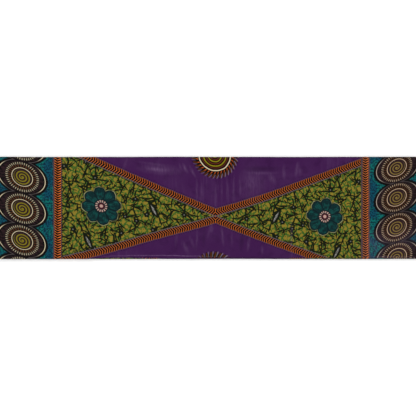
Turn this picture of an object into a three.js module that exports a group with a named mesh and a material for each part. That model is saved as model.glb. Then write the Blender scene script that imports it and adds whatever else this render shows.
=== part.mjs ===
// A six-yard length of wax print cotton, folded to and fro into a flat pack and lying on a table.
// The cloth keeps its full width, selvedge to selvedge, along X. Its folds run along X at the front (-Y)
// and the back (+Y). Nineteen plies lie on each other:
//   top_ply       the uppermost ply, from its cut end at the back round its fold at the front
//   lower_fold    two plies pressed together, whose fold stands out in front of the top ply
//   hidden_plies  the plies between, as one rounded solid that is layered at all four edges
//   bottom_ply    the ply that lies on the table, from its cut end at the front round its fold at the back
// Frame: +Z up, origin on the table under the middle of the pack. Lengths are millimetres.
import * as THREE from "three";

// ---- driving dimensions ----
const CLOTH_WIDTH = 1190; // selvedge to selvedge
const FOLD_DEPTH = 283; // front of the pack to its back
const STACK_MIDDLE = 13.5; // height away from the folds
const STACK_FRONT = 16.5; // height over the front folds, which spring open
const STACK_BACK = 15.5; // height over the back folds
const FOLD_SPRING = 45; // how far in from an edge the plies come down to the middle height
const WALL = 1; // thickness of a ply that is a solid of its own
const GAP = 0.3; // clearance between two solids

// Folds of the outer plies: outer radius, and how far the cloth turns back under or over itself.
const TOP_NOSE = { radius: 1.9, tuck: 8 };
const BOTTOM_NOSE = { radius: 1.6, tuck: 8 };
const TUCK_LEAN = 0.04; // how much a turned-back end leans towards its own ply, per millimetre
const CUT_DROOP = { length: 8, drop: 1.2 }; // the top ply's cut end bends down over the back folds
const BOTTOM_CUT_SET_BACK = 5; // from the front of the pack to the bottom ply's cut end

// The top ply's fold is flush with the front at the left and steps back between these two places.
const TOP_STEP = { startX: -340, endX: -270, back: 3.8 };

// The folds of the hidden plies, two plies to a fold, at the front and again at the back.
const FOLDS = 8;
const FOLD_GROOVE = 1.1; // depth of the groove between two folds
const PLY_GROOVE = 0.8; // depth of the groove between two plies at a selvedge
const EDGE_WANDER = 0.5; // how far the edge of a hidden ply strays to either side
const FRONT_SET_BACK = 4.2; // deepest fold at the front
const BACK_SET_BACK = 3; // deepest fold at the back
const STAGGER = 2.2; // how much less the least deep one is set back
const SELVEDGE_SET_BACK = 2;

// The fold that shows in front of the top ply.
const LOWER_FOLD = {
  place: 6, // among the front folds, counted from 0 at the bottom
  share: 1.75, // its height, as a multiple of another fold's
  depth: 24, // how far in it reaches
  slotDepth: 27, // depth of its slot in the hidden plies
  slotTaper: 0.1, // how much the slot's floor and ceiling close in
};

// Soft ridges that earlier folding and handling left in the top ply.
// x, y: middle. length, width: the stretch it covers. turn: degrees from the X axis. height: rise.
const RIDGES = [
  { x: -150, y: 104, length: 330, width: 42, turn: 1, height: 0.8 },
  { x: 205, y: 82, length: 420, width: 44, turn: -2, height: 1.0 },
  { x: -90, y: -72, length: 170, width: 36, turn: 63, height: 0.7 },
  { x: 76, y: -70, length: 160, width: 34, turn: -70, height: 0.7 },
  { x: -330, y: 10, length: 260, width: 50, turn: -24, height: 0.8 },
  { x: 345, y: -20, length: 270, width: 48, turn: 22, height: 0.8 },
  { x: -505, y: 40, length: 170, width: 44, turn: 84, height: 0.7 },
  { x: 520, y: -34, length: 180, width: 46, turn: 95, height: 0.8 },
  { x: 10, y: 26, length: 190, width: 40, turn: 88, height: 0.7 },
  { x: -215, y: -102, length: 240, width: 36, turn: 3, height: 0.6 },
];

const FRONT = -FOLD_DEPTH / 2;
const BACK = FOLD_DEPTH / 2;
const HALF_WIDTH = CLOTH_WIDTH / 2;

// ---- helpers ----
const clamp01 = (t) => Math.min(1, Math.max(0, t));
const ease = (t) => clamp01(t) ** 2 * (3 - 2 * clamp01(t));
const mix = (a, b, t) => a + (b - a) * t;
const steps = (count) => Array.from({ length: count + 1 }, (_, i) => i / count);

// A slow wander between -1 and 1 along an edge. Each edge has a number of its own.
const wander = (along, edge) => 0.6 * Math.sin(along / 91 + edge * 2.4) + 0.4 * Math.sin(along / 37 + edge * 4.1);

// A closed solid made of a bent box. at(u, v, w) places the point with the three shares u, v and w, each
// from 0 to 1. The lists say which shares get points. u, v and w point along a right-handed set of axes.
function bentBox(us, vs, ws, at) {
  const [nu, nv, nw] = [us.length - 1, vs.length - 1, ws.length - 1];
  const positions = [];
  const index = [];
  const found = new Map();
  const point = (i, j, k) => {
    const key = (i * (nv + 1) + j) * (nw + 1) + k;
    if (!found.has(key)) {
      found.set(key, positions.length / 3);
      positions.push(...at(us[i], vs[j], ws[k]));
    }
    return found.get(key);
  };
  const quad = (a, b, c, d) => index.push(a, b, c, a, c, d);
  for (let i = 0; i < nu; i++) {
    for (let j = 0; j < nv; j++) {
      quad(point(i, j, nw), point(i + 1, j, nw), point(i + 1, j + 1, nw), point(i, j + 1, nw));
      quad(point(i, j, 0), point(i, j + 1, 0), point(i + 1, j + 1, 0), point(i + 1, j, 0));
    }
    for (let k = 0; k < nw; k++) {
      quad(point(i, 0, k), point(i + 1, 0, k), point(i + 1, 0, k + 1), point(i, 0, k + 1));
      quad(point(i, nv, k), point(i, nv, k + 1), point(i + 1, nv, k + 1), point(i + 1, nv, k));
    }
  }
  for (let j = 0; j < nv; j++) {
    for (let k = 0; k < nw; k++) {
      quad(point(0, j, k), point(0, j, k + 1), point(0, j + 1, k + 1), point(0, j + 1, k));
      quad(point(nu, j, k), point(nu, j + 1, k), point(nu, j + 1, k + 1), point(nu, j, k + 1));
    }
  }
  const geometry = new THREE.BufferGeometry();
  geometry.setAttribute("position", new THREE.Float32BufferAttribute(positions, 3));
  geometry.setIndex(index);
  geometry.computeVertexNormals();
  return geometry;
}

// ---- the form of the pack ----
function stackHeight(y) {
  const front = ease(1 - (y - FRONT) / FOLD_SPRING) * (STACK_FRONT - STACK_MIDDLE);
  const back = ease(1 - (BACK - y) / FOLD_SPRING) * (STACK_BACK - STACK_MIDDLE);
  return STACK_MIDDLE + front + back;
}

// Rise of the ridges at a point of the top ply. It dies out towards the folds.
function ridgeRise(x, y) {
  const inside = ease((y - FRONT) / FOLD_SPRING) * ease((BACK - y) / FOLD_SPRING);
  const rise = RIDGES.reduce((sum, r) => {
    const turn = THREE.MathUtils.degToRad(r.turn);
    const along = ((x - r.x) * Math.cos(turn) + (y - r.y) * Math.sin(turn)) / (r.length / 2);
    const across = ((y - r.y) * Math.cos(turn) - (x - r.x) * Math.sin(turn)) / (r.width / 2);
    return sum + r.height * ease(1 - Math.abs(along)) * ease(1 - Math.abs(across));
  }, 0);
  return rise * inside;
}

const topSetBack = (x) => TOP_STEP.back * ease((x - TOP_STEP.startX) / (TOP_STEP.endX - TOP_STEP.startX));

// ---- the outer plies ----
// The middle line of a ply, seen from its end: flat, round a fold, and a short way back. Each point has the
// direction that its outer side faces. side is -1 for a fold at the front and 1 at the back. up is 1 where
// the flat stretch lies on top of the fold, and -1 where it lies under it.
function foldedLine(flat, nose, side, up, foldY, foldZ) {
  const radius = nose.radius - WALL / 2;
  const round = steps(6).map((t) => {
    const face = [side * Math.sin(Math.PI * t), up * Math.cos(Math.PI * t)];
    return { y: foldY + face[0] * radius, z: foldZ + face[1] * radius, face };
  });
  const last = round[round.length - 1];
  const end = { y: last.y - side * nose.tuck, z: last.z + up * nose.tuck * TUCK_LEAN, face: last.face };
  return [...flat, ...round, end];
}

// A wall of cloth along such a line, which may change with x.
function wallAlong(lineAt, lengthSteps) {
  const lines = lengthSteps.map((u) => lineAt(mix(-HALF_WIDTH, HALF_WIDTH, u)));
  const places = steps(lines[0].length - 1);
  return bentBox(lengthSteps, places, [0, 1], (u, v, w) => {
    const point = lines[lengthSteps.indexOf(u)][places.indexOf(v)];
    const offset = mix(WALL / 2, -WALL / 2, w);
    return [mix(-HALF_WIDTH, HALF_WIDTH, u), point.y + point.face[0] * offset, point.z + point.face[1] * offset];
  });
}

function topPly() {
  // Shares of the way from the cut end to the fold, closer together where the ply bends.
  const shares = [0, 0.012, 0.028, 0.06, 0.1, 0.15, ...steps(16).slice(3, 14), 0.86, 0.9, 0.94, 0.97];
  const lineAt = (x) => {
    const foldY = FRONT + topSetBack(x) + TOP_NOSE.radius;
    const flat = shares.map((share) => {
      const y = mix(BACK, foldY, share);
      const droop = CUT_DROOP.drop * clamp01(1 - (BACK - y) / CUT_DROOP.length) ** 2;
      return { y, z: stackHeight(y) + ridgeRise(x, y) - droop - WALL / 2, face: [0, 1] };
    });
    return foldedLine(flat, TOP_NOSE, -1, 1, foldY, stackHeight(foldY) - TOP_NOSE.radius);
  };
  return wallAlong(lineAt, steps(44));
}

function bottomPly() {
  const foldY = BACK - BOTTOM_NOSE.radius;
  const flat = [0, 0.3, 0.6, 0.95].map((share) => {
    return { y: mix(FRONT + BOTTOM_CUT_SET_BACK, foldY, share), z: WALL / 2, face: [0, -1] };
  });
  const line = foldedLine(flat, BOTTOM_NOSE, 1, -1, foldY, BOTTOM_NOSE.radius);
  return wallAlong(() => line, steps(12));
}

// ---- the hidden plies ----
// Their underside clears the bottom ply and its turned-back end, and their top clears the top ply's.
function hiddenLow(y) {
  const overTuck = clamp01((30 - (BACK - y)) / 18);
  return WALL + GAP + overTuck * (2 * BOTTOM_NOSE.radius - WALL);
}

function hiddenHigh(y) {
  const underPly = stackHeight(y) - WALL - GAP;
  const underFold = STACK_FRONT - 2 * TOP_NOSE.radius - GAP;
  const droop = CUT_DROOP.drop * clamp01(1 - (BACK - y) / (CUT_DROOP.length + 4));
  return Math.min(underPly, y < 0 ? underFold : Infinity) - droop;
}

// The levels of the hidden plies, bottom to top. height: share of the whole height. through: share of the
// way through its own fold. ply: number of the ply that it lies in. groove: share of a groove's depth.
function hiddenLevels() {
  const folds = Array.from({ length: FOLDS }, (_, fold) => (fold === LOWER_FOLD.place ? LOWER_FOLD.share : 1));
  const whole = folds.reduce((a, b) => a + b);
  const levels = [];
  let bottom = 0;
  folds.forEach((share, fold) => {
    for (const through of [0, 0.2, 0.5, 0.8]) {
      const groove = 1 - Math.sqrt(1 - (2 * through - 1) ** 2);
      const ply = fold * 2 + (through > 0.5 ? 1 : 0);
      levels.push({ fold, through, ply, groove, height: (bottom + through * share) / whole });
    }
    bottom += share;
  });
  levels.push({ fold: FOLDS - 1, through: 1, ply: FOLDS * 2 - 1, groove: 1, height: 1 });
  return levels;
}

const LEVELS = hiddenLevels();
const FRONT_LOW = hiddenLow(FRONT);
const FRONT_HIGH = hiddenHigh(FRONT);
const SLOT = {
  low: LEVELS.find((level) => level.fold === LOWER_FOLD.place).height,
  high: LEVELS.find((level) => level.fold === LOWER_FOLD.place + 1).height,
  taper: LOWER_FOLD.slotTaper / (FRONT_HIGH - FRONT_LOW),
};
const inSlot = (level) => level.height > SLOT.low && level.height < SLOT.high;

function hiddenPlies() {
  const depths = [0, 30, FOLD_SPRING, FOLD_DEPTH / 2, FOLD_DEPTH - FOLD_SPRING];
  for (const fromBack of [30, 20, 12, 6, 0]) depths.push(FOLD_DEPTH - fromBack);
  const heights = LEVELS.map((level) => level.height);
  return bentBox(steps(20), depths.map((depth) => depth / FOLD_DEPTH), heights, (u, v, w) => {
    const level = LEVELS[heights.indexOf(w)];
    const betweenPlies = level.through === 0.5 || level.groove === 1;
    const half = HALF_WIDTH - SELVEDGE_SET_BACK - (betweenPlies ? PLY_GROOVE : 0);
    const left = -half + EDGE_WANDER * wander(level.ply * 61, 5);
    const right = half + EDGE_WANDER * wander(level.ply * 83, 6);
    const x = mix(left, right, u);
    const depth = FRONT + v * FOLD_DEPTH;
    const less = STAGGER * (0.5 + 0.5 * Math.sin(level.fold * 2.4));
    const stray = (edge) => level.groove * FOLD_GROOVE + EDGE_WANDER * wander(x, level.fold + edge);
    let y = depth;
    let height = w;
    if (v === 0) y += FRONT_SET_BACK - less + stray(10);
    if (v === 1) y -= BACK_SET_BACK - less + stray(30);
    if (v === 0 && inSlot(level)) {
      y = FRONT + LOWER_FOLD.slotDepth;
      height = mix(SLOT.low + SLOT.taper, SLOT.high - SLOT.taper, (level.through - 0.2) / 0.6);
    }
    return [x, y, mix(hiddenLow(depth), hiddenHigh(depth), height)];
  });
}

function lowerFold() {
  const low = mix(FRONT_LOW, FRONT_HIGH, SLOT.low + SLOT.taper) + GAP;
  const high = mix(FRONT_LOW, FRONT_HIGH, SLOT.high - SLOT.taper) - GAP;
  const radius = (high - low) / 2;
  // Shares of a quarter turn round the fold's front, then the flat part behind it.
  const places = [...steps(4), 2];
  return bentBox(steps(28), steps(places.length - 1), [0, 1], (u, v, w) => {
    const place = places[Math.round(v * (places.length - 1))];
    const angle = (Math.min(place, 1) * Math.PI) / 2;
    const x = mix(-HALF_WIDTH + SELVEDGE_SET_BACK, HALF_WIDTH - SELVEDGE_SET_BACK, u);
    const edge = FRONT + 0.2 * (1 + wander(x, 3));
    const y = place > 1 ? FRONT + LOWER_FOLD.depth : edge + radius * (1 - Math.cos(angle));
    const half = radius * mix(0.3, 1, Math.sin(angle));
    return [x, y, (low + high) / 2 + mix(-half, half, w)];
  });
}

// ---- assembly ----
function cloth(name, geometry, color, roughness) {
  const mesh = new THREE.Mesh(geometry, new THREE.MeshStandardMaterial({ color, roughness, metalness: 0 }));
  mesh.name = name;
  return mesh;
}

const pack = new THREE.Group();
pack.add(cloth("top_ply", topPly(), 0x43224d, 0.55));
pack.add(cloth("lower_fold", lowerFold(), 0x8a4a22, 0.6));
pack.add(cloth("hidden_plies", hiddenPlies(), 0x4b4d22, 0.65));
pack.add(cloth("bottom_ply", bottomPly(), 0x1d4c50, 0.65));

export default pack;
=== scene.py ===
"""A folded length of wax print cotton, seen from straight above on a white floor.

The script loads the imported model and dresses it: thin sheets of cloth take the place of its solids, and one
procedural material prints them all. Forms are worked out in millimetres and written to Blender in metres.
The print is laid out on the flat, unfolded cloth, in millimetres from a crossing of its diagonal bands.
"""

import math

import bpy
import numpy as np
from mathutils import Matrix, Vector


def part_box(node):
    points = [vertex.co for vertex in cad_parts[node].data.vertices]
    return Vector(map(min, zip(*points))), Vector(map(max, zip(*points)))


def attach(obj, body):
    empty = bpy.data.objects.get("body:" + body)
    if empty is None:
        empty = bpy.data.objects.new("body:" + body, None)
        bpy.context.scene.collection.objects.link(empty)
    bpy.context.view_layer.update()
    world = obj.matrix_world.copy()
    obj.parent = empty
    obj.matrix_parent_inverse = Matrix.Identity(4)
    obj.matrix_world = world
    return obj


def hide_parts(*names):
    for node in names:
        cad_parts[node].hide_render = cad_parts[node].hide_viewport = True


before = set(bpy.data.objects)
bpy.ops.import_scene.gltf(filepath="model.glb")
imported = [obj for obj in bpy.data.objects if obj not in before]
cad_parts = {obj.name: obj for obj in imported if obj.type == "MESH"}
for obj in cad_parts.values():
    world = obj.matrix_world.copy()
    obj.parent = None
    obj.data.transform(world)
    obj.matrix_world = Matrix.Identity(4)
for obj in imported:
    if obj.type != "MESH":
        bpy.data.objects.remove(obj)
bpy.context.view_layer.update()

MM = 0.001


def node_box(name):
    """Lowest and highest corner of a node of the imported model, in millimetres."""
    return [np.array(corner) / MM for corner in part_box(name)]


# ---- sizes of the folded pack ----
TOP_LOW, TOP_HIGH = node_box("top_ply")
FOLD_LOW, FOLD_HIGH = node_box("lower_fold")
BOTTOM_LOW = node_box("bottom_ply")[0]
HALF_WIDTH = TOP_HIGH[0]
FRONT, BACK = TOP_LOW[1], TOP_HIGH[1]
STACK_FRONT = TOP_HIGH[2]
STACK_MIDDLE = 13.5
STACK_BACK = 15.5
FOLD_SPRING = 45
CLOTH = 0.35  # thickness of the cloth
TOP_NOSE = {"reach": 3.4, "radius": 1.9, "tuck": 9}
BOTTOM_NOSE = {"reach": 1.6, "radius": 1.6, "tuck": 9}
TUCK_LEAN = 0.04  # how much a turned-back end rises or falls, per millimetre
TUCK_ROWS = np.array([0.33, 0.66, 1])[:, None]  # shares of a turned-back end's length
CUT_DROOP = {"length": 9, "below": 13, "drop": 1.0}  # the top ply's cut end bends down, and those below too
TOP_CUT_STRAY = 0.3
BOTTOM_CUT_STRAY = 0.6
TOP_STEP = {"start": -340, "end": -270, "back": 3.8}  # the top ply's fold steps back between two places
HIDDEN_PLIES = 17
LOWER_FOLD_PLY = 12  # the lower of the two hidden plies, counted from 0, whose fold stands out in front
LOWER_FOLD_SHARE = 1.75  # their height there, as a multiple of another ply's
LOWER_FOLD_ROOM = 60  # cloth left out round that fold, for the piece that shows it
LOWER_FOLD_STRAY = 0.3
LOWER_FOLD_FLAT = 0.8  # how far apart its plies lie behind its round end, as a share of that end's height
BEHIND_FOLD = 25  # how far behind its front those two plies start
FRONT_SPREAD = 60  # how far behind the front the hidden plies all have the same height
PAST_TUCK = {"top": 4, "bottom": 3}  # from a turned-back end to the hidden ply that carries it on
UNDER_TOP = 0.55  # from the top ply's upper face down to the hidden plies' highest middle line
UNDER_NOSE = 0.3  # and from the underside of its fold
OVER_BOTTOM = 0.75  # height of the hidden plies' lowest middle line
OVER_TUCK = {"from": 30, "over": 18, "rise": 2.6}  # they rise over the bottom ply's turned-back end
SWAY = 0.16  # how far a hidden ply strays up and down
# The hidden plies' folds: how deep they lie behind the front and the back of the pack, how much they differ
# from each other, how far each strays along its length, and the room for its round end.
SET_BACK = {"front": 4.2, "back": 3, "stagger": 1.1, "stray": 0.5, "round": 0.7}
SELVEDGE = {"set_back": 1.4, "stray": 0.8}
# Where rows of points lie along a hidden ply, as shares of its length.
PLY_ROWS = [0, 0.015, 0.04, 0.08, 0.13, 0.2, 0.35, 0.5, 0.65, 0.8, 0.87, 0.92, 0.96, 0.985, 1]

# Ridges of the top ply. The first ten are those of the solid, and the rest are finer creases.
# Columns: middle x, middle y, length, width, turn in degrees, rise.
RIDGES = [
    (-150, 104, 330, 42, 1, 0.8),
    (205, 82, 420, 44, -2, 1.0),
    (-90, -72, 170, 36, 63, 0.7),
    (76, -70, 160, 34, -70, 0.7),
    (-330, 10, 260, 50, -24, 0.8),
    (345, -20, 270, 48, 22, 0.8),
    (-505, 40, 170, 44, 84, 0.7),
    (520, -34, 180, 46, 95, 0.8),
    (10, 26, 190, 40, 88, 0.7),
    (-215, -102, 240, 36, 3, 0.6),
    (-130, 108, 150, 15, 8, 0.22),
    (-88, 112, 110, 13, -9, 0.2),
    (150, 98, 190, 16, 6, 0.24),
    (232, 116, 140, 14, -5, 0.2),
    (248, 74, 160, 13, 10, 0.18),
    (-36, 62, 150, 9, 83, 0.16),
    (-14, 44, 170, 8, 88, 0.15),
    (16, 30, 180, 9, 91, 0.18),
    (38, 38, 150, 8, 95, 0.15),
    (66, 52, 130, 9, 99, 0.14),
    (-120, -96, 130, 11, 72, 0.18),
    (-66, -104, 110, 9, 80, 0.15),
    (98, -100, 110, 10, 104, 0.16),
    (150, -112, 90, 9, 96, 0.14),
    (-250, -124, 210, 9, 1, 0.24),
]

# Streaks of sheen painted into the top ply's colour: painted highlights where the strength is over 0, and
# painted shade, such as the shadow under its front fold, where it is under.
# Columns: middle x, middle y, length, width, turn in degrees, strength.
PAINTED_SHEEN = [
    (-133, 107, 150, 36, -4, 0.7),
    (-141, 106, 64, 13, -6, 0.8),
    (-160, 123, 96, 10, -8, 0.36),
    (-230, 119, 60, 11, 70, 0.4),
    (-63, 110, 36, 12, -62, 0.94),
    (-43, 101, 44, 10, -64, 0.79),
    (-77, 115, 26, 9, -70, 0.43),
    (-31, 48, 90, 10, 90, 0.5),
    (-17, 45, 74, 8, 90, 0.36),
    (22, 37, 90, 9, 90, 0.43),
    (38, 45, 90, 8, 90, 0.43),
    (53, 51, 90, 9, 90, 0.5),
    (71, 55, 80, 9, 90, 0.5),
    (89, 61, 80, 9, 90, 0.43),
    (122, 66, 110, 90, 90, 0.55),
    (119, 77, 50, 30, 90, 0.2),
    (150, 98, 110, 11, 0, 0.5),
    (150, 110, 130, 20, 0, -0.8),
    (177, 83, 44, 22, -60, 0.6),
    (210, 100, 50, 13, 90, 0.65),
    (246, 108, 50, 14, 80, 0.9),
    (255, 102, 30, 16, 90, 0.5),
    (-31, -89, 70, 9, 88, 0.43),
    (10, -55, 32, 12, 90, 0.79),
    (3, -66, 44, 10, 78, 0.43),
    (40, -75, 74, 10, 95, 0.65),
    (-63, -111, 50, 18, -64, 0.5),
    (-44, -97, 54, 13, -68, 0.34),
    (-88, -89, 54, 13, 86, 0.34),
    (112, -100, 50, 12, 80, 0.6),
    (66, -83, 54, 9, 92, 0.36),
    (150, -116, 34, 12, 88, 0.5),
    (231, -84, 130, 10, 90, 0.58),
    (94, -89, 70, 20, 84, -0.8),
    (-11, -83, 60, 14, 86, -0.5),
    # painted highlights along the top ply's front fold
    (-165, -134, 340, 3.6, 0, 1.7),
    (-50, -134, 220, 3.4, 0, 1.1),
    # painted shadow in the gap under the top ply's front fold
    (120, -136.6, 250, 4, 0, -0.9),
    (500, -135, 190, 8, 0, 0.9),
    (462, -102, 110, 80, 60, 0.45),
    (540, -88, 130, 100, 20, 0.28),
]

# ---- the print ----
PRINT_ORIGIN = (20.8, -21.8)  # where the bands cross on the top ply
SKEW = -0.0462  # the print leans against the weave by this much
BOW = 8.5e-5  # and its lines bend by this much, per millimetre
STRETCH = 7.0e-5  # its scale across the cloth grows from left to right
SHRINK = 5.0e-5  # and its scale along the cloth shrinks
# Where the cloth is pulled a little: middle x, middle y, reach, and how far the print moves back.
PULLS = [
    (-150, -80, 175, 3.6),
    (150, 35, 165, -2.4),
]
WOBBLE = {"size": 16, "reach": 1.6}  # how unevenly the print's lines run
REPEAT = 337
LOWER_FOLD_PRINT = 84  # place along the print of the fold that stands out
# A diagonal band: from the crossing up or down to its middle line, its slope and its half width.
BAND_START = 9.4
BAND_SLOPE = 0.3535
BAND_HALF = 10.3
FIELD_HALF = 426  # from the middle to the upright bands
UPRIGHT_HALF = 12.2
CHEVRON_HALF = 8.1
TICK_PITCH = 6.6
TICK_SLOPE = 0.55
# The leafy ground's leaves, seams and seeds: how far apart they lie.
LEAF_PITCH = 15
SEAM_PITCH = 33
SEED_PITCH = 46
# Strokes of the leafy ground, one in each scattered cell: cell size, shift, half length, half width, bend.
TWIGS = [
    (48, 0, 25, 2.2, 0.006),
    (44, 411, 23, 2.1, -0.009),
    (39, 877, 20, 2.1, 0.013),
    (35, 1303, 17, 2.0, -0.016),
    (31, 1711, 14, 2.0, 0.012),
    (26, 2203, 11, 1.8, 0.03),
]
# Feathers of the leafy ground: their places, turn, and half sizes of the dark lens and of its pale streak.
FEATHERS = {"places": ((170, 5), (344, -95)), "turn": 62, "lens": (27, 9.4), "streak": (17, 2.8)}
# The flower of the leafy ground, from its middle out. Its petals' tips reach notch + petal.
FLOWER = {"place": (309, 4), "notch": 42, "petal": 11, "heart": 19, "beads": 13, "wine": 8.5, "eye": 4.4}
SUN_PLACE = (-2.2, 0)  # from the middle line between two crossings
SUN_RAYS = 34
# In front of a sun's centre and behind it: how far the rays' pattern turns with each millimetre outwards,
# in radians of one ray, which way a ray's hair lies beside it, and how far out the hairs reach.
SUN_SWIRL = (0.36, 0.12)
SUN_HAIR_SHIFT = (-2.5, 2.5)
SUN_HAIR_END = (65, 70)
SUN_LEAN = 0.0016  # how much more the rays turn with each millimetre to the right
SUN_TURN = {"at": 49, "by": 2.5}  # a radius, and how far the rays' pattern is turned there
# Radii: of the dark disc, of the cream ring with its half width, and where the rays and the hairs start.
SUN_RIM = {"disc": 44, "ring": 43.6, "half": 1.35, "rays": 47.6, "hairs": 55}
# Columns: radius, half width, colour's name, strength.
SUN_RINGS = [
    (0, 8.2, "OLIVE", 1),
    (13.4, 1.2, "RED", 0.75),
    (18.7, 1.45, "OLIVE", 1),
    (24.8, 1.1, "RED", 0.85),
    (31.2, 1.45, "OLIVE", 1),
    (36.2, 0.9, "RED", 0.8),
]
# Where a disc's centre lies, and the size of the border's print across and along the cloth.
LEFT_BORDER = {"x": -516, "y": 86, "across": 1.02, "along": 1.03}
RIGHT_BORDER = {"x": 524, "y": 29.4, "across": 0.935, "along": 0.971}
BORDER_PITCH = 85
DISC_LEAN = 0.23  # how far a disc moves along the cloth with each millimetre across it
DISC_FLAT = {"outer": 1.43, "inner": 1.17}  # its size across the cloth, as a multiple of that along it
DISC_SHIFT = 1.7  # from the middle of a disc's outline to that of its inner rings
# Radii of a disc's outline, and by how much they are smaller at the right border and larger at the left.
DISC_OUTLINE = {"edge": (71, 0.8), "ring": (62.9, 1.2)}
# Radii of a disc's inner rings.
DISC = {"brown": 59.5, "black": 47, "teeth": (37.2, 44.4), "rays": (29, 39), "ring": 28.3, "spiral": 23.2}
SPIRAL = {"pitch": 8.2, "start": 11.3, "eye": 2.4}  # start: how far out it is on the side of the field
BARE_EDGE = (-75.7, 0.8)  # where the border's print ends, and how much sooner it does at the right
THREAD_WAVE = 0.9  # from one thread of the weave to the next but one

# Light that the cloth gets, as a multiple of what shows a colour as it is.
LIT = 1.55
GLAZE = 0.005  # what the glaze's reflections add to every colour


def clamp01(t):
    return np.clip(t, 0, 1)


def ease(t):
    return clamp01(t) ** 2 * (3 - 2 * clamp01(t))


def mix(a, b, t):
    return a + (b - a) * t


def wander(along, edge):
    """A slow wander between -1 and 1 along an edge. Each edge has a number of its own."""
    return 0.6 * np.sin(along / 91 + edge * 2.4) + 0.4 * np.sin(along / 37 + edge * 4.1)


# ---- forms ----
def stack_height(y):
    front = ease(1 - (y - FRONT) / FOLD_SPRING) * (STACK_FRONT - STACK_MIDDLE)
    back = ease(1 - (BACK - y) / FOLD_SPRING) * (STACK_BACK - STACK_MIDDLE)
    return STACK_MIDDLE + front + back


def ridge_rise(x, y):
    rise = np.zeros_like(x)
    for middle_x, middle_y, length, width, turn, height in RIDGES:
        cos, sin = math.cos(math.radians(turn)), math.sin(math.radians(turn))
        along = ((x - middle_x) * cos + (y - middle_y) * sin) / (length / 2)
        across = ((y - middle_y) * cos - (x - middle_x) * sin) / (width / 2)
        rise += height * ease(1 - np.abs(along)) * ease(1 - np.abs(across))
    return rise * ease((y - FRONT) / 16) * ease((BACK - y) / 16)


def print_places(x, y):
    """Where the points of flat cloth lie on the field's print and on the border's, in metres."""
    across, along = x - PRINT_ORIGIN[0], y - PRINT_ORIGIN[1]
    for middle_x, middle_y, reach, towards_back in PULLS:
        along = along - towards_back * ease(1 - np.hypot(x - middle_x, y - middle_y) / reach)
    u = across * (1 + STRETCH * across)
    v = (along - SKEW * across - BOW * across**2) / (1 - SHRINK * across)
    border = {key: np.where(x < 0, LEFT_BORDER[key], RIGHT_BORDER[key]) for key in LEFT_BORDER}
    p = (x - border["x"]) * np.where(x < 0, 1, -1) / border["across"]
    q = (y - border["y"]) / border["along"]
    return np.stack([u, v], -1) * MM, np.stack([p, q], -1) * MM


def shell(middle, flat_x, flat_y, thickness=CLOTH):
    """A sheet of cloth round a grid of middle points, closed at its edges: points, faces and flat places.

    middle has the shape (rows, columns, 3). flat_x and flat_y say where each point lies on the flat cloth.
    """
    rows, columns = middle.shape[:2]
    down, across = np.gradient(middle, axis=0), np.gradient(middle, axis=1)
    normal = np.cross(across, down)
    normal /= np.linalg.norm(normal, axis=-1, keepdims=True)
    points = np.concatenate([middle + normal * thickness / 2, middle - normal * thickness / 2])
    outer, inner = np.arange(2 * rows * columns).reshape(2, rows, columns)
    quads = [
        np.stack([outer[:-1, :-1], outer[1:, :-1], outer[1:, 1:], outer[:-1, 1:]], -1).reshape(-1, 4),
        np.stack([inner[:-1, :-1], inner[:-1, 1:], inner[1:, 1:], inner[1:, :-1]], -1).reshape(-1, 4),
    ]
    rims = [
        (outer[0], inner[0]),
        (inner[-1], outer[-1]),
        (inner[:, 0], outer[:, 0]),
        (outer[:, -1], inner[:, -1]),
    ]
    for a, b in rims:
        quads.append(np.stack([a[:-1], a[1:], b[1:], b[:-1]], -1))
    flat = np.stack([flat_x, flat_y], -1).reshape(-1, 2)
    return points.reshape(-1, 3), np.concatenate(quads), np.concatenate([flat, flat])


def cloth(name, *shells):
    """One object of one or more shells, with its places on the print as UV maps."""
    starts = np.cumsum([0] + [len(points) for points, faces, flat in shells])
    points = np.concatenate([part[0] for part in shells])
    faces = np.concatenate([part[1] + start for part, start in zip(shells, starts)])
    flat = np.concatenate([part[2] for part in shells])
    mesh = bpy.data.meshes.new(name)
    mesh.from_pydata((points * MM).tolist(), [], faces.tolist())
    mesh.shade_smooth()
    corners = np.empty(len(mesh.loops), np.int32)
    mesh.loops.foreach_get("vertex_index", corners)
    for map_name, places in zip(("print", "border"), print_places(flat[:, 0], flat[:, 1])):
        layer = mesh.uv_layers.new(name=map_name)
        layer.data.foreach_set("uv", places[corners].astype(np.float32).ravel())
    piece = bpy.data.objects.new(name, mesh)
    bpy.context.collection.objects.link(piece)
    return piece


def lengths_along(middle):
    """How far each point of a grid lies from the first row, measured down the columns."""
    steps = np.linalg.norm(np.diff(middle, axis=0), axis=-1)
    return np.concatenate([np.zeros((1, steps.shape[1])), np.cumsum(steps, axis=0)])


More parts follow.
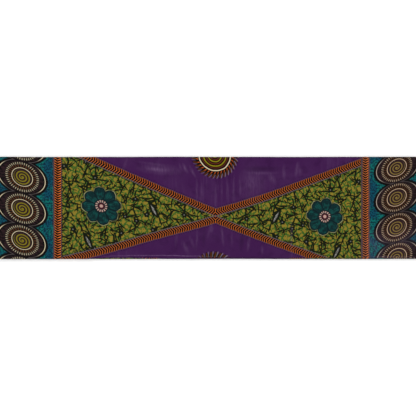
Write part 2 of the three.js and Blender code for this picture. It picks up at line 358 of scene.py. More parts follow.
def top_ply():
    """The uppermost ply, and its length from its cut end round the fold to its turned-back end."""
    x = np.linspace(-HALF_WIDTH, HALF_WIDTH, 330)
    set_back = TOP_STEP["back"] * ease((x - TOP_STEP["start"]) / (TOP_STEP["end"] - TOP_STEP["start"]))
    nose_y = FRONT + set_back + TOP_NOSE["reach"]
    shares = np.concatenate([np.linspace(0, 0.05, 8)[:-1], np.linspace(0.05, 1, 80)])[:, None]
    cut = BACK + TOP_CUT_STRAY * wander(x, 1)
    flat_y = mix(cut, nose_y, shares)
    grid_x = np.broadcast_to(x, flat_y.shape)
    droop = CUT_DROOP["drop"] * clamp01(1 - (BACK - flat_y) / CUT_DROOP["length"]) ** 2
    flat_z = stack_height(flat_y) + ridge_rise(grid_x, flat_y) - droop - CLOTH / 2
    turn = np.linspace(0, math.pi, 11)[1:, None]
    reach, radius = TOP_NOSE["reach"] - CLOTH / 2, TOP_NOSE["radius"] - CLOTH / 2
    round_y = nose_y - reach * np.sin(turn)
    round_z = flat_z[-1] + radius * (np.cos(turn) - 1)
    inward = TOP_NOSE["tuck"] * TUCK_ROWS
    tuck_y = round_y[-1] + inward
    tuck_z = round_z[-1] + inward * TUCK_LEAN
    y, z = np.concatenate([flat_y, round_y, tuck_y]), np.concatenate([flat_z, round_z, tuck_z])
    middle = np.stack([np.broadcast_to(x, y.shape), y, z], -1)
    run = lengths_along(middle)
    return cloth("top_ply_cloth", shell(middle, middle[..., 0], cut - run)), run[-1].mean()


def bottom_ply(start):
    """The ply on the table. start is the place on the flat cloth of its turned-back end."""
    x = np.linspace(-HALF_WIDTH, HALF_WIDTH, 120)
    nose_y = BACK - BOTTOM_NOSE["reach"]
    cut = BOTTOM_LOW[1] + BOTTOM_CUT_STRAY * wander(x, 2)
    flat_y = mix(cut, nose_y, np.linspace(0, 1, 24)[:, None])
    turn = np.linspace(0, math.pi, 9)[1:, None]
    reach, radius = BOTTOM_NOSE["reach"] - CLOTH / 2, BOTTOM_NOSE["radius"] - CLOTH / 2
    round_y = np.broadcast_to(nose_y + reach * np.sin(turn), (len(turn), len(x)))
    round_z = np.broadcast_to(CLOTH / 2 + radius * (1 - np.cos(turn)), (len(turn), len(x)))
    inward = BOTTOM_NOSE["tuck"] * TUCK_ROWS
    tuck_y = round_y[-1] - inward
    tuck_z = round_z[-1] - inward * TUCK_LEAN
    y = np.concatenate([flat_y, round_y, tuck_y])[::-1]
    z = np.concatenate([np.full_like(flat_y, CLOTH / 2), round_z, tuck_z])[::-1]
    middle = np.stack([np.broadcast_to(x, y.shape), y, z], -1)
    return cloth("bottom_ply_cloth", shell(middle, middle[..., 0], start - lengths_along(middle)))


def ply_share(ply, y):
    """How high a hidden ply lies, as a share of the hidden plies' whole height."""
    even = (ply + 0.5) / HIDDEN_PLIES
    folds = np.ones(HIDDEN_PLIES)
    folds[LOWER_FOLD_PLY : LOWER_FOLD_PLY + 2] = LOWER_FOLD_SHARE
    at_front = (np.cumsum(folds) - folds / 2) / folds.sum()
    return mix(even, at_front[ply], ease(1 - (y - FRONT) / FRONT_SPREAD))


def hidden_height(ply, x, y):
    over_tuck = clamp01((OVER_TUCK["from"] - (BACK - y)) / OVER_TUCK["over"]) * OVER_TUCK["rise"]
    low = OVER_BOTTOM + over_tuck
    droop = CUT_DROOP["drop"] * clamp01(1 - (BACK - y) / CUT_DROOP["below"])
    under_nose = STACK_FRONT - 2 * TOP_NOSE["radius"] - UNDER_NOSE
    high = np.minimum(stack_height(y) - UNDER_TOP, np.where(y < 0, under_nose, np.inf)) - droop
    share = ply_share(ply, y)
    sway = SWAY * np.sin(x / 31 + ply * 0.55 + 1.3 * np.sin(y / 60)) * 4 * share * (1 - share)
    return mix(low, high, share) + sway * ease((y - FRONT) / 30 + 0.4)


def fold_depth(side, fold):
    """How far behind the edge of the pack the round end of a hidden fold starts."""
    return SET_BACK[side] - SET_BACK["stagger"] * (1 + math.sin(fold * 2.4)) + SET_BACK["round"]


def front_of(ply, x):
    """Where a hidden ply ends at the front. Two plies that share a fold end together."""
    fold = ply // 2
    return FRONT + fold_depth("front", fold) + SET_BACK["stray"] * wander(x, fold + 10)


def back_of(ply, x):
    fold = (ply + 1) // 2
    return BACK - fold_depth("back", fold) + SET_BACK["stray"] * wander(x, fold + 30)


def hidden_rows(first, last, x, trim):
    """Rows of middle points down a stretch of hidden plies, from ply number first down to last.

    trim says how far an end of the stretch stays behind its fold: (at the first ply, at the last ply).
    """
    rows = []
    for ply in range(first, last - 1, -1):
        front, back = front_of(ply, x), back_of(ply, x)
        to_back = ply % 2 == HIDDEN_PLIES % 2 - 1  # the topmost ply starts at the front
        start, end = (front, back) if to_back else (back, front)
        towards = 1 if to_back else -1
        if ply == first:
            start = start + towards * trim[0]
        if ply == last:
            end = end - towards * trim[1]
        for share in PLY_ROWS:
            y = mix(start, end, share)
            rows.append((y, hidden_height(ply, x, y)))
        if ply > last:
            y, z = rows[-1]
            below = hidden_height(ply - 1, x, y)
            radius = (z - below) / 2
            for turn in np.linspace(0, math.pi, 7)[1:-1]:
                rows.append((y + towards * radius * math.sin(turn), z - radius * (1 - math.cos(turn))))
    y, z = np.array([row[0] for row in rows]), np.array([row[1] for row in rows])
    return y, z


def hidden_plies(start):
    """The plies between, as one long sheet in two stretches, above and below the fold that stands out.

    start is the place on the flat cloth of their first row. The place after their last is returned too.
    """
    share = np.linspace(0, 1, 84)
    x = mix(-HALF_WIDTH, HALF_WIDTH, share)
    after_top = TOP_NOSE["tuck"] + PAST_TUCK["top"]
    before_bottom = BOTTOM_NOSE["tuck"] + PAST_TUCK["bottom"]
    above = hidden_rows(HIDDEN_PLIES - 1, LOWER_FOLD_PLY + 1, x, (after_top, BEHIND_FOLD))
    below = hidden_rows(LOWER_FOLD_PLY, 0, x, (BEHIND_FOLD, before_bottom))
    shells = []
    along = start
    for number, (y, z) in enumerate((above, below)):
        flat = np.stack([np.broadcast_to(x, y.shape), y, z], -1)
        run = lengths_along(flat)
        half = HALF_WIDTH - SELVEDGE["set_back"]
        left = -half + SELVEDGE["stray"] * wander(run[:, :1] * 0.9, 5 + number)
        right = half + SELVEDGE["stray"] * wander(run[:, :1] * 0.9, 7 + number)
        flat[..., 0] = mix(left, right, share)
        shells.append(shell(flat, flat[..., 0], along - run))
        along = along - run[-1, 0] - LOWER_FOLD_ROOM
    return cloth("hidden_plies_cloth", *shells), along


def lower_fold():
    """The fold that stands out in front, with the stretches of its two plies behind it."""
    x = np.linspace(FOLD_LOW[0], FOLD_HIGH[0], 260)
    radius = (FOLD_HIGH[2] - FOLD_LOW[2] - CLOTH) / 2
    centre_z = (FOLD_HIGH[2] + FOLD_LOW[2]) / 2
    edge = FRONT + LOWER_FOLD_STRAY * (1 + wander(x, 3)) + CLOTH / 2
    turn = np.linspace(0, math.pi, 11)[:, None]
    round_y = edge + radius * (1 - np.sin(turn))
    round_z = centre_z + radius * np.cos(turn)
    inward = (FOLD_HIGH[1] - FRONT) * np.array([1, 0.7, 0.4, 0.2])[:, None]
    over_y = np.maximum(FRONT + inward, edge + radius + 0.5)
    under_y = over_y[::-1]
    y = np.concatenate([over_y, round_y, under_y])
    level = np.full_like(over_y, radius * LOWER_FOLD_FLAT)
    z = np.concatenate([centre_z + level, np.broadcast_to(round_z, round_y.shape), centre_z - level])
    middle = np.stack([np.broadcast_to(x, y.shape), y, z], -1)
    run = lengths_along(middle)
    nose = PRINT_ORIGIN[1] + LOWER_FOLD_PRINT + run[len(over_y) + 5]
    return cloth("lower_fold_cloth", shell(middle, middle[..., 0], nose - run))


# ---- writing materials ----
def shade(red, green, blue):
    """A colour given as it should look, from 0 to 255, as the base colour that gives that look."""
    shares = [channel / 255 for channel in (red, green, blue)]
    linear = [share / 12.92 if share < 0.04 else ((share + 0.055) / 1.055) ** 2.4 for share in shares]
    return tuple(max(channel - GLAZE, 0.0004) / LIT for channel in linear) + (1,)


def plug(tree, value, slot):
    if isinstance(value, Num):
        tree.links.new(value.socket, slot)
    elif isinstance(value, bpy.types.NodeSocket):
        tree.links.new(value, slot)
    else:
        slot.default_value = value


class Num:
    """A number in a material's node tree. Arithmetic on it adds Math nodes."""

    def __init__(self, tree, socket):
        self.tree = tree
        self.socket = socket

    def math(self, operation, *others):
        return add_math(self.tree, operation, self, *others)

    def __add__(self, other):
        return self.math("ADD", other)

    def __sub__(self, other):
        return self.math("SUBTRACT", other)

    def __rsub__(self, other):
        return add_math(self.tree, "SUBTRACT", other, self)

    def __mul__(self, other):
        return self.math("MULTIPLY", other)

    def __truediv__(self, other):
        return self.math("DIVIDE", other)

    def __neg__(self):
        return self.math("MULTIPLY", -1)

    def __abs__(self):
        return self.math("ABSOLUTE")

    __radd__ = __add__
    __rmul__ = __mul__


def add_math(tree, operation, *values):
    node = tree.nodes.new("ShaderNodeMath")
    node.operation = operation
    for value, slot in zip(values, node.inputs):
        plug(tree, value, slot)
    return Num(tree, node.outputs[0])


class Painter:
    """Adds the nodes of one material. Places and sizes are in millimetres on the flat cloth."""

    def __init__(self, material):
        self.tree = material.node_tree

    def add(self, kind, settings=(), **inputs):
        node = self.tree.nodes.new(kind)
        for name, value in dict(settings).items():
            setattr(node, name, value)
        for name, value in inputs.items():
            plug(self.tree, value, node.inputs[name])
        return node

    def num(self, socket):
        return Num(self.tree, socket)

    def point(self, x, y):
        return self.add("ShaderNodeCombineXYZ", X=x, Y=y).outputs[0]

    def places(self, map_name):
        """The two places on the flat cloth that a UV map holds."""
        node = self.add("ShaderNodeUVMap", {"uv_map": map_name})
        parts = self.add("ShaderNodeSeparateXYZ", Vector=node.outputs[0])
        return self.num(parts.outputs[0]) / MM, self.num(parts.outputs[1]) / MM

    def step(self, x, low, high, start=0.0, end=1.0):
        """Goes smoothly from start to end as x goes from low to high."""
        node = self.add("ShaderNodeMapRange", {"interpolation_type": "SMOOTHSTEP"})
        for value, slot in zip((x, low, high, start, end), node.inputs):
            plug(self.tree, value, slot)
        return self.num(node.outputs[0])

    def under(self, x, edge, soft=0.5):
        """1 where x is under edge, 0 where it is over."""
        return self.step(x - edge if isinstance(edge, Num) else x, *self.ends(edge, soft), 1.0, 0.0)

    def over(self, x, edge, soft=0.5):
        return self.step(x - edge if isinstance(edge, Num) else x, *self.ends(edge, soft))

    @staticmethod
    def ends(edge, soft):
        middle = 0 if isinstance(edge, Num) else edge
        return middle - soft, middle + soft

    def between(self, x, low, high, soft=0.5):
        return self.over(x, low, soft) * self.under(x, high, soft)

    def line(self, x, middle, half, soft=0.5):
        return self.under(abs(x - middle), half, soft)

    def noise(self, x, y, size, detail=1.0, stretch=1.0):
        """Soft noise, mostly from 0.3 to 0.7, with features of about size, longer along y by stretch."""
        vector = self.point(x / size, y / (size * stretch))
        kind = {"noise_dimensions": "2D"}
        node = self.add("ShaderNodeTexNoise", kind, Vector=vector, Scale=1.0, Detail=detail)
        return self.num(node.outputs[0])

    def cells(self, x, y, size):
        """One scattered spot in each cell: the place from the nearest, and three random shares of it."""
        vector = self.point(x / size, y / size)
        kind = {"voronoi_dimensions": "2D", "feature": "F1"}
        node = self.add("ShaderNodeTexVoronoi", kind, Vector=vector, Scale=1.0, Randomness=0.85)
        away = self.add("ShaderNodeVectorMath", {"operation": "SUBTRACT"})
        plug(self.tree, vector, away.inputs[0])
        plug(self.tree, node.outputs["Position"], away.inputs[1])
        parts = self.add("ShaderNodeSeparateXYZ", Vector=away.outputs[0])
        chance = self.add("ShaderNodeSeparateColor", Color=node.outputs["Color"])
        place = [self.num(parts.outputs[i]) * size for i in (0, 1)]
        return place, [self.num(chance.outputs[i]) for i in (0, 1, 2)]

    def seams(self, x, y, size):
        """How far a point is from the nearest border between scattered cells."""
        kind = {"voronoi_dimensions": "2D", "feature": "DISTANCE_TO_EDGE"}
        vector = self.point(x / size, y / size)
        node = self.add("ShaderNodeTexVoronoi", kind, Vector=vector, Scale=1.0, Randomness=0.9)
        return self.num(node.outputs["Distance"]) * size

    def spot(self, place, middle, half_sizes, turn):
        """A soft ellipse: 1 in its middle, falling evenly to 0 at its edge."""
        node = self.add("ShaderNodeMapping", {"vector_type": "TEXTURE"}, Vector=place)
        node.inputs["Location"].default_value = (*middle, 0)
        node.inputs["Rotation"].default_value = (0, 0, math.radians(turn))
        node.inputs["Scale"].default_value = (*half_sizes, 1)
        ball = self.add("ShaderNodeTexGradient", {"gradient_type": "SPHERICAL"}, Vector=node.outputs[0])
        return self.num(ball.outputs["Fac"])

    def turned(self, place, angle):
        """The place along and across a direction."""
        x, y = place
        if isinstance(angle, Num):
            cos, sin = angle.math("COSINE"), angle.math("SINE")
        else:
            cos, sin = math.cos(angle), math.sin(angle)
        return x * cos + y * sin, y * cos - x * sin

    def distance(self, x, y):
        return (x * x + y * y).math("SQRT")

    def wrap(self, x, period):
        """x, brought between minus and plus half a period."""
        return x.math("WRAP", period / 2, -period / 2)

    def paint(self, below, above, share):
        """The colour above laid over the colour below where share is 1."""
        node = self.add("ShaderNodeMix", {"data_type": "RGBA"})
        for value, slot in zip((share, below, above), (node.inputs[0], node.inputs[6], node.inputs[7])):
            plug(self.tree, value, slot)
        return node.outputs[2]


# ---- the print's colours ----
PURPLE = shade(65, 28, 77)
PURPLE_PALE = shade(88, 58, 100)
PURPLE_DEEP = shade(48, 16, 58)
TEAL_DEEP = shade(0, 34, 52)
TEAL_BLUE = shade(0, 80, 98)
TEAL = shade(0, 110, 104)
ORANGE = shade(240, 124, 52)
ORANGE_DEEP = shade(240, 124, 54)
ORANGE_DULL = shade(196, 108, 58)
ORANGE_BROWN = shade(178, 86, 26)
BAND_DARK = shade(6, 4, 2)
BAND_EDGE = shade(86, 68, 74)
BAND_PALE = shade(104, 88, 96)
LEAF_GREEN = shade(58, 94, 36)
LEAF_MUSTARD = shade(140, 122, 44)
LEAF_DARK = shade(23, 27, 17)
DISC_BLACK = shade(6, 8, 10)
DISC_BROWN = shade(47, 31, 34)
DISC_RED = shade(94, 56, 30)
CREAM = shade(228, 212, 176)
TAN = shade(222, 188, 154)
RING_PALE = shade(206, 188, 172)
RING_GREY = shade(88, 78, 78)
OLIVE = shade(144, 132, 20)
OLIVE_DEEP = shade(128, 116, 28)
OLIVE_TAN = shade(142, 119, 58)
SEED_SPOT = shade(112, 112, 108)
FEATHER_PALE = shade(154, 152, 146)
MOTIF_TEAL = shade(22, 76, 72)
MOTIF_DEEP = shade(14, 34, 38)
MOTIF_WINE = shade(70, 24, 36)
MOTIF_EDGE = shade(150, 150, 104)
MOTIF_PINK = shade(200, 162, 150)
SUN_BROWN = shade(30, 15, 11)
SUN_GAP = shade(0, 8, 10)
SUN_RED = shade(112, 50, 30)
SUN_RAY = shade(200, 86, 32)
SUN_RAY_END = shade(88, 46, 4)
SUN_HAIR = shade(160, 144, 152)
# painted highlight and painted shade of the glaze's sheen, laid over the print
PAINTED_HIGHLIGHT = shade(188, 153, 199)
PAINTED_SHADE = shade(34, 8, 42)
BARE_CLOTH = shade(196, 188, 172)


# ---- the print's parts ----
def purple_ground(paint, u, v):
    cloudy = paint.step(paint.noise(u, v, 70, 2.0), 0.35, 0.7)
    streaks = paint.step(paint.noise(u, v, 7, 1.0, 16), 0.5, 0.75)
    patches = paint.step(paint.noise(u + 900, v, 120, 1.0), 0.45, 0.65)
    colour = paint.paint(PURPLE, PURPLE_PALE, cloudy * 0.14 + streaks * patches * 0.22)
    return paint.paint(colour, PURPLE_DEEP, paint.step(paint.noise(u - 500, v, 24, 2.0), 0.5, 0.75) * 0.3)


def leafy_ground(paint, u, v):
    """Mustard and green leaves between dark twigs."""
    bend_u = u + (paint.noise(u, v + 500, 15, 0.0) - 0.5) * 9
    bend_v = v + (paint.noise(u, v - 500, 15, 0.0) - 0.5) * 9
    leaf = paint.seams(bend_u * 1.3 + 700, bend_v, LEAF_PITCH) + (paint.noise(u, v, 5, 1.0) - 0.5) * 9.5
    colour = paint.paint(LEAF_GREEN, LEAF_MUSTARD, paint.step(leaf, 0.9, 3.6))
    seam = paint.seams(bend_u, bend_v, SEAM_PITCH)
    thick = paint.step(paint.noise(u + 300, v, 15, 0.0), 0.36, 0.6, -1.2, 1.6)
    colour = paint.paint(colour, LEAF_DARK, paint.under(seam - thick, 0, 0.5))
    for size, shift, length, half, bend in TWIGS:
        place, chance = paint.cells(u + shift, v - shift, size)
        along, across = paint.turned(place, chance[0] * math.tau)
        taper = half - along * along * (half / length**2)
        stroke = paint.under(abs(across - along * along * bend) - taper, 0, 0.5)
        colour = paint.paint(colour, LEAF_DARK, stroke)
    return colour


def seeds(paint, colour, u, v):
    """Small dark lumps with a pale spot."""
    place, chance = paint.cells(u + 77, v + 41, SEED_PITCH)
    far = paint.distance(*place)
    lumps = (place[1].math("ARCTAN2", place[0]) * 5 + chance[1] * 6).math("COSINE")
    chosen = paint.over(chance[2], 0.42, 0.01)
    colour = paint.paint(colour, LEAF_DARK, paint.under(far - lumps * 1.6, 7.2, 0.8) * chosen)
    return paint.paint(colour, SEED_SPOT, paint.under(far, 1.7, 0.7) * chosen)


def outside_lens(along, across, half_sizes):
    """How far a point lies outside a lens that is pointed at both ends."""
    length, width = half_sizes
    return abs(across) - (width - along * along * (width / length**2))


def feather(paint, colour, u, v, place):
    """A dark lens with a pale streak down its middle."""
    along, across = paint.turned((u - place[0], v - place[1]), math.radians(FEATHERS["turn"]))
    lens = outside_lens(along, across, FEATHERS["lens"])
    colour = paint.paint(colour, LEAF_DARK, paint.under(lens, 0, 0.8))
    streak = outside_lens(along + 2, across + 0.4, FEATHERS["streak"])
    grain = paint.step(paint.noise(u, v, 3), 0.4, 0.6, 0.2, 0.9)
    return paint.paint(colour, FEATHER_PALE, paint.under(streak, 0, 0.6) * grain)


def flower(paint, colour, u, v):
    """A plain round flower of eight petals in the wide end of each leafy triangle."""
    place = (u - FLOWER["place"][0], v - FLOWER["place"][1])
    far = paint.distance(*place)
    angle = place[1].math("ARCTAN2", place[0])
    petal = abs((angle * 4 + 0.5).math("COSINE"))
    wobble = (paint.noise(u, v, 9, 1.0) - 0.5) * 4
    edge = petal.math("POWER", 0.7) * FLOWER["petal"] + FLOWER["notch"] + wobble
    rim = paint.step(paint.noise(u + 60, v, 20, 1.0), 0.35, 0.6, 0.25, 1)
    colour = paint.paint(colour, LEAF_DARK, paint.under(far - edge, 2.6, 0.8) * 0.8)
    colour = paint.paint(colour, MOTIF_EDGE, paint.under(far - edge, 0.9, 0.5) * rim)
    colour = paint.paint(colour, MOTIF_DEEP, paint.under(far - edge, -0.9, 0.5))
    cloud = paint.step(paint.noise(u, v, 13, 3.0), 0.38, 0.66)
    fill = paint.under(far - edge + 5, 0, 1.6) * paint.over(petal, 0.3, 0.16)
    fill = fill * paint.over(far, FLOWER["heart"], 1.5)
    colour = paint.paint(colour, MOTIF_TEAL, fill * paint.step(cloud, 0, 1, 0.2, 1))
    veins = paint.over((angle * 40 + paint.noise(u, v, 14, 0.0) * 5).math("COSINE"), 0.2, 0.5)
    colour = paint.paint(colour, MOTIF_DEEP, veins * paint.between(far, 24, 44, 5) * 0.5)
    beads = paint.over((angle * 14).math("COSINE"), -0.1, 0.35) * paint.line(far, FLOWER["beads"], 2.8, 0.6)
    colour = paint.paint(colour, MOTIF_PINK, beads * 0.9)
    colour = paint.paint(colour, MOTIF_WINE, paint.under(far, FLOWER["wine"], 0.7))
    return paint.paint(colour, MOTIF_PINK, paint.under(far, FLOWER["eye"], 0.8) * 0.9)


def ticks(paint, along, slant, dark_share):
    """1 on the dark ticks of a herringbone. slant is the distance from its middle line."""
    wave = ((along - slant * TICK_SLOPE) * (math.tau / TICK_PITCH)).math("COSINE")
    return paint.over(wave, (0.5 - dark_share) * math.pi, 0.25)


def diagonal_bands(paint, colour, u_side, v_side):
    """Two columns of slanting ticks along each diagonal. Offset is measured towards the purple."""
    tilt = 1 / math.hypot(1, BAND_SLOPE)
    offset = (v_side - u_side * BAND_SLOPE - BAND_START) * tilt
    along = (u_side + v_side * BAND_SLOPE) * tilt
    spikes = paint.over((along * (math.tau / TICK_PITCH)).math("SINE"), 0, 0.6)
    fringe = paint.between(offset, BAND_HALF - 2, BAND_HALF + 4.5, 1.5) * spikes
    colour = paint.paint(colour, PURPLE_DEEP, fringe * 0.8)
    teeth = paint.line(offset, -BAND_HALF - 1.9, 1.5, 0.6) * (1 - spikes)
    colour = paint.paint(colour, LEAF_DARK, teeth * 0.9)
    colour = paint.paint(colour, BAND_PALE, paint.between(offset, -BAND_HALF, -6, 0.6))
    tone = paint.paint(ORANGE_DEEP, ORANGE_BROWN, paint.step(offset, 2, 7))
    colour = paint.paint(colour, tone, paint.between(offset, 2.8 - BAND_HALF, BAND_HALF - 0.6, 0.9))
    colour = paint.paint(colour, BAND_EDGE, paint.line(offset, BAND_HALF, 1.1, 0.8) * 0.7)
    dark_share = paint.step(offset, 3, 8, 0.77, 0.6)
    herringbone = ticks(paint, along, abs(offset - 1.6), dark_share)
    body = paint.between(offset, 1.8 - BAND_HALF, BAND_HALF - 1, 0.9)
    return paint.paint(colour, BAND_DARK, herringbone * body)


def upright_band(paint, colour, across, v, side):
    """A band of chevrons. across is measured to the right from its line.

    side is -1 at the left and 1 at the right, and the two bands differ a little.
    """
    middle = across - 1.95 + side * 0.75
    body = paint.under(abs(across - 1.5 + side * 0.6) - side * 0.6, UPRIGHT_HALF, 0.6)
    colour = paint.paint(colour, BAND_EDGE, body)
    dashes = paint.over((v * (math.tau / TICK_PITCH)).math("COSINE"), -0.1, 0.5)
    colour = paint.paint(colour, BAND_DARK, paint.line(abs(middle), 9.8, 1.2, 0.6) * dashes * body * 0.55)
    dull = paint.paint(ORANGE_DEEP, ORANGE_DULL, side * 0.5 + 0.5)
    tone = paint.paint(dull, ORANGE, paint.step(middle - side * 2, 2, 5))
    colour = paint.paint(colour, tone, paint.under(abs(middle), CHEVRON_HALF, 0.7))
    dark_share = paint.step(abs(middle), 2, 8, 0.71 - side * 0.03, 0.63 - side * 0.02)
    dark_share = dark_share + paint.step(middle, -1, 3, 0.05, -0.03)
    chevrons = ticks(paint, v, abs(middle), dark_share)
    colour = paint.paint(colour, BAND_DARK, chevrons * paint.under(abs(middle), CHEVRON_HALF, 0.6))
    inner_dashes = paint.line(across * side, -14.4, 1.3, 0.6) * dashes * (0.5 - side * 0.4)
    return paint.paint(colour, LEAF_DARK, inner_dashes)


def sun(paint, colour, u, v):
    """A disc of rings inside a wreath of swirling rays, each with a pale hair beside its tip."""
    across, along = u - SUN_PLACE[0], v - SUN_PLACE[1]
    far = paint.distance(across, along)
    swirl = paint.step(along, -20, 20, *SUN_SWIRL)
    outwards = far - SUN_TURN["at"]
    phase = along.math("ARCTAN2", across) * SUN_RAYS + outwards * swirl + SUN_TURN["by"]
    phase = phase + outwards * across * SUN_LEAN
    ray = phase.math("COSINE")
    beside = (phase + paint.step(along, -20, 20, *SUN_HAIR_SHIFT)).math("COSINE")
    hair_end = paint.step(along, -20, 20, *SUN_HAIR_END)
    hairs = paint.over(beside, 0.78, 0.2) * paint.between(far, SUN_RIM["hairs"], hair_end, 2)
    hairs = hairs * paint.step(across, -50, 40, 0.35, 1)
    colour = paint.paint(colour, SUN_GAP, paint.under(far - ray * 4.5, hair_end - 4, 2.5))
    colour = paint.paint(colour, SUN_HAIR, hairs * 0.55)
    rays = paint.over(ray, 0.56, 0.25) * paint.between(far, SUN_RIM["rays"], hair_end - 2, 1.2)
    tone = paint.paint(SUN_RAY, SUN_RAY_END, paint.step(far, 47, 56))
    colour = paint.paint(colour, tone, rays)
    colour = paint.paint(colour, SUN_BROWN, paint.under(far, SUN_RIM["disc"], 0.7))
    rings = {"OLIVE": OLIVE, "RED": SUN_RED}
    for middle, half, name, strength in SUN_RINGS:
        colour = paint.paint(colour, rings[name], paint.line(far, middle, half, 0.7) * strength)
    return paint.paint(colour, CREAM, paint.line(far, SUN_RIM["ring"], SUN_RIM["half"], 0.6))


def teal_ground(paint, p, q):
    blotch = paint.step(paint.noise(p, q, 4.6, 1.5), 0.38, 0.62)
    broad = paint.step(paint.noise(p + 200, q, 26, 1.0), 0.4, 0.6)
    tone = paint.paint(TEAL, TEAL_BLUE, broad)
    return paint.paint(TEAL_DEEP, tone, blotch * 0.85 + 0.12)


def border_discs(paint, colour, p, q, side):
    """Discs that overlap in a row. Each leans, and has a spiral, a ring, rays, teeth and an outer ring.

    side is -1 at the left border and 1 at the right, and the two borders differ a little.
    """
    right = side * 0.5 + 0.5
    pale = paint.paint(CREAM, TAN, right)
    lean = paint.wrap(q + p * DISC_LEAN, BORDER_PITCH)
    outer = paint.distance(p, lean * DISC_FLAT["outer"])
    place = (p - DISC_SHIFT, lean * DISC_FLAT["inner"])
    inner = paint.distance(*place)
    angle = place[1].math("ARCTAN2", place[0])
    edge, ring_at = (radius - side * less for radius, less in DISC_OUTLINE.values())
    colour = paint.paint(colour, DISC_BLACK, paint.under(outer, edge, 0.8))
    ring = paint.paint(CREAM, RING_PALE, right)
    ring = paint.paint(ring, RING_GREY, paint.step(abs(lean), 22, 36))
    colour = paint.paint(colour, ring, paint.line(outer, ring_at, 0.95, 0.6) * (0.86 - side * 0.1))
    hair = paint.step(paint.noise(angle * 30, inner, 3, 1.0, 4), 0.35, 0.62, 0.15, 1)
    colour = paint.paint(colour, DISC_BROWN, paint.under(outer, DISC["brown"], 1.2) * hair)
    spoke = (angle * 44).math("COSINE")
    colour = paint.paint(colour, DISC_BLACK, paint.under(inner, DISC["black"], 2) * 0.8)
    rays = paint.over((angle * 30).math("COSINE"), 0.1, 0.5) * paint.between(inner, *DISC["rays"], 1)
    colour = paint.paint(colour, DISC_RED, rays * (0.6 - side * 0.08))
    width = paint.step(inner, 37, 43, 1.0, 0.3)
    teeth = paint.under(width - spoke, 0, 0.3) * paint.between(inner - spoke * 1.5, *DISC["teeth"], 1)
    colour = paint.paint(colour, pale, teeth * 0.54)
    colour = paint.paint(colour, DISC_BLACK, paint.under(inner, DISC["ring"] + 2.2, 0.6))
    colour = paint.paint(colour, pale, paint.line(inner, DISC["ring"], 0.78, 0.5))
    turns = ((inner - SPIRAL["start"]) * (math.tau / SPIRAL["pitch"]) + angle).math("COSINE")
    colour = paint.paint(colour, DISC_BROWN, paint.under(inner, DISC["ring"] - 2.8, 0.6))
    spiral = paint.over(turns - side * 0.18, 0.42, 0.3) * paint.under(inner, DISC["spiral"], 0.6)
    spiral = spiral.math("MAXIMUM", paint.under(inner, SPIRAL["eye"], 0.8))
    return paint.paint(colour, paint.paint(OLIVE_DEEP, OLIVE_TAN, right), spiral)


def painted_sheen(paint, colour, u, v):
    """Painted highlights and painted shade: streaks of sheen painted over the whole print of the top ply.
    They lie straight on the pack.
    """
    x = u - u * u * STRETCH + PRINT_ORIGIN[0]
    y = v * (1 - u * SHRINK) + u * SKEW + u * u * BOW + PRINT_ORIGIN[1]
    place = paint.point(x, y)
    pale, shade_share = 0, 0
    for middle_x, middle_y, length, width, turn, strength in PAINTED_SHEEN:
        spot = paint.spot(place, (middle_x, middle_y), (length / 2, width / 2), turn)
        if strength > 0:
            pale = add_math(paint.tree, "MULTIPLY_ADD", spot, strength, pale)
        else:
            shade_share = add_math(paint.tree, "MULTIPLY_ADD", spot, -strength, shade_share)
    grain = paint.step(paint.noise(x, y, 4, 1.0, 5), 0.3, 0.7, 0.55, 1.15)
    # painted highlight: the pale sheen streaks mixed into the colour
    colour = paint.paint(colour, PAINTED_HIGHLIGHT, (pale * grain * 0.12).math("MINIMUM", 0.2))
    # painted shade: the dark streaks, such as the shadow under the front fold
    return paint.paint(colour, PAINTED_SHADE, (shade_share * 0.6).math("MINIMUM", 0.8))


def print_colour(paint):
    """The whole print, from the ground up, with painted highlights and painted shade over it."""
    u, v = paint.places("print")
    p, q = paint.places("border")
    u = u + (paint.noise(u, v, WOBBLE["size"], 0.0) - 0.5) * WOBBLE["reach"]
    v = v + (paint.noise(u + 300, v, WOBBLE["size"], 0.0) - 0.5) * WOBBLE["reach"]
    u_side = abs(u)
    v_near = paint.wrap(v, REPEAT)
    v_side = abs(v_near)
    colour = purple_ground(paint, u, v)
    green = leafy_ground(paint, u_side, v_near)
    green = seeds(paint, green, u_side, v_near)
    for place in FEATHERS["places"]:
        green = feather(paint, green, u_side, v_near, place)
    green = flower(paint, green, u_side, v_near)
    colour = paint.paint(colour, green, paint.under(v_side - u_side * BAND_SLOPE, BAND_START - 6, 0.6))
    colour = sun(paint, colour, u, paint.wrap(v + REPEAT / 2, REPEAT))
    colour = diagonal_bands(paint, colour, u_side, v_side)
    edge = teal_ground(paint, p, q)
    side = u.math("SIGN")
    edge = border_discs(paint, edge, p, q, side)
    colour = paint.paint(colour, edge, paint.over(u_side, FIELD_HALF + 4, 0.5))
    colour = upright_band(paint, colour, u - side * FIELD_HALF, v, side)
    colour = paint.paint(colour, BARE_CLOTH, paint.under(p, side * BARE_EDGE[1] + BARE_EDGE[0], 0.4))
    # lays the painted highlights and painted shade over the print
    return painted_sheen(paint, colour, u, v)


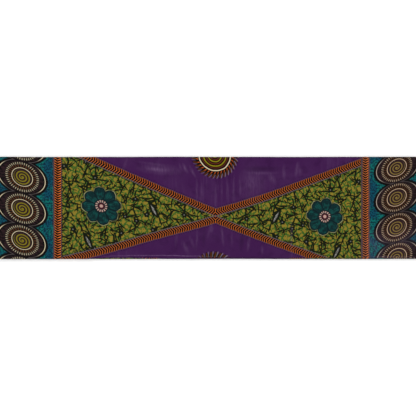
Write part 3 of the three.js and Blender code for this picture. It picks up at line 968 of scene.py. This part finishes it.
def wax_print():
    material = bpy.data.materials.new("wax_print")
    material.use_nodes = True
    paint = Painter(material)
    surface = material.node_tree.nodes["Principled BSDF"]
    surface.inputs["Specular IOR Level"].default_value = 0.06
    plug(paint.tree, print_colour(paint), surface.inputs["Base Color"])
    x, y = paint.places("print")
    glaze = paint.noise(x, y, 35, 2.0)
    plug(paint.tree, paint.step(glaze, 0.3, 0.7, 0.48, 0.68), surface.inputs["Roughness"])
    wave = math.tau / THREAD_WAVE
    threads = (x * wave).math("SINE") * (y * wave).math("SINE")
    slubs = paint.noise(x, y, 1.6, 1.0, 5) + paint.noise(y, x, 1.6, 1.0, 5)
    bump = paint.add("ShaderNodeBump", Strength=0.35, Distance=0.00008)
    plug(paint.tree, threads * 0.3 + slubs, bump.inputs["Height"])
    plug(paint.tree, bump.outputs[0], surface.inputs["Normal"])
    return material


# ---- dressing the model ----
def dress(piece, material, node):
    piece.data.materials.append(material)
    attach(piece, "root")
    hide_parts(node)


def build_cloth():
    material = wax_print()
    top, top_length = top_ply()
    hidden, after_hidden = hidden_plies(BACK - top_length - PAST_TUCK["top"])
    bottom = bottom_ply(after_hidden)
    fold = lower_fold()
    dress(top, material, "top_ply")
    dress(fold, material, "lower_fold")
    dress(hidden, material, "hidden_plies")
    dress(bottom, material, "bottom_ply")


# ---- floor, light and camera ----
VIEW_WIDTH = 1151.5  # width of cloth that the frame shows
LENS = 85
SENSOR = 36
SKY = 0.8  # the white that surrounds the pack
FLOOR_HALF = 40
SOFTBOX_SIZE = (2.4, 2.4)
# Columns: name, place, power.
SOFTBOXES = [
    ("front", (-0.3, -2.7, 2.4), 21),
    ("front_left", (-2.2, -1.3, 2.8), 20),
    ("front_right", (2.2, -1.3, 2.8), 18),
    ("back_left", (-2.2, 1.3, 2.8), 25),
    ("back_right", (2.2, 1.3, 2.8), 23),
    ("back", (0, 2.3, 2.8), 32),
]


def plain_material(name, colour, roughness):
    material = bpy.data.materials.new(name)
    material.use_nodes = True
    surface = material.node_tree.nodes["Principled BSDF"]
    surface.inputs["Base Color"].default_value = colour
    surface.inputs["Roughness"].default_value = roughness
    return material


def floor():
    mesh = bpy.data.meshes.new("floor")
    corners = [(x * FLOOR_HALF, y * FLOOR_HALF, 0) for x, y in ((-1, -1), (1, -1), (1, 1), (-1, 1))]
    mesh.from_pydata(corners, [], [(0, 1, 2, 3)])
    plane = bpy.data.objects.new("floor", mesh)
    plane.location.z = -0.2 * MM
    bpy.context.collection.objects.link(plane)
    mesh.materials.append(plain_material("white_floor", (0.95, 0.95, 0.95, 1), 0.9))


def softbox(name, place, power):
    """A rectangular light that faces the pack."""
    lamp = bpy.data.lights.new(name, "AREA")
    lamp.shape = "RECTANGLE"
    lamp.size, lamp.size_y = SOFTBOX_SIZE
    lamp.energy = power
    holder = bpy.data.objects.new(name, lamp)
    bpy.context.collection.objects.link(holder)
    holder.location = place
    holder.rotation_euler = (-Vector(place)).to_track_quat("-Z", "Y").to_euler()
    holder.visible_camera = False


def studio():
    world = bpy.data.worlds.new("studio")
    bpy.context.scene.world = world
    world.use_nodes = True
    sky = world.node_tree.nodes["Background"]
    sky.inputs[0].default_value = (1, 1, 1, 1)
    sky.inputs[1].default_value = SKY
    for name, place, power in SOFTBOXES:
        softbox(name, place, power)


def camera():
    lens = bpy.data.cameras.new("camera")
    lens.lens = LENS
    lens.sensor_width = SENSOR
    holder = bpy.data.objects.new("camera", lens)
    bpy.context.collection.objects.link(holder)
    holder.location = (0, 0, (VIEW_WIDTH * LENS / SENSOR + STACK_MIDDLE) * MM)
    bpy.context.scene.camera = holder


build_cloth()
floor()
studio()
camera()
bpy.context.scene.view_settings.view_transform = "Standard"
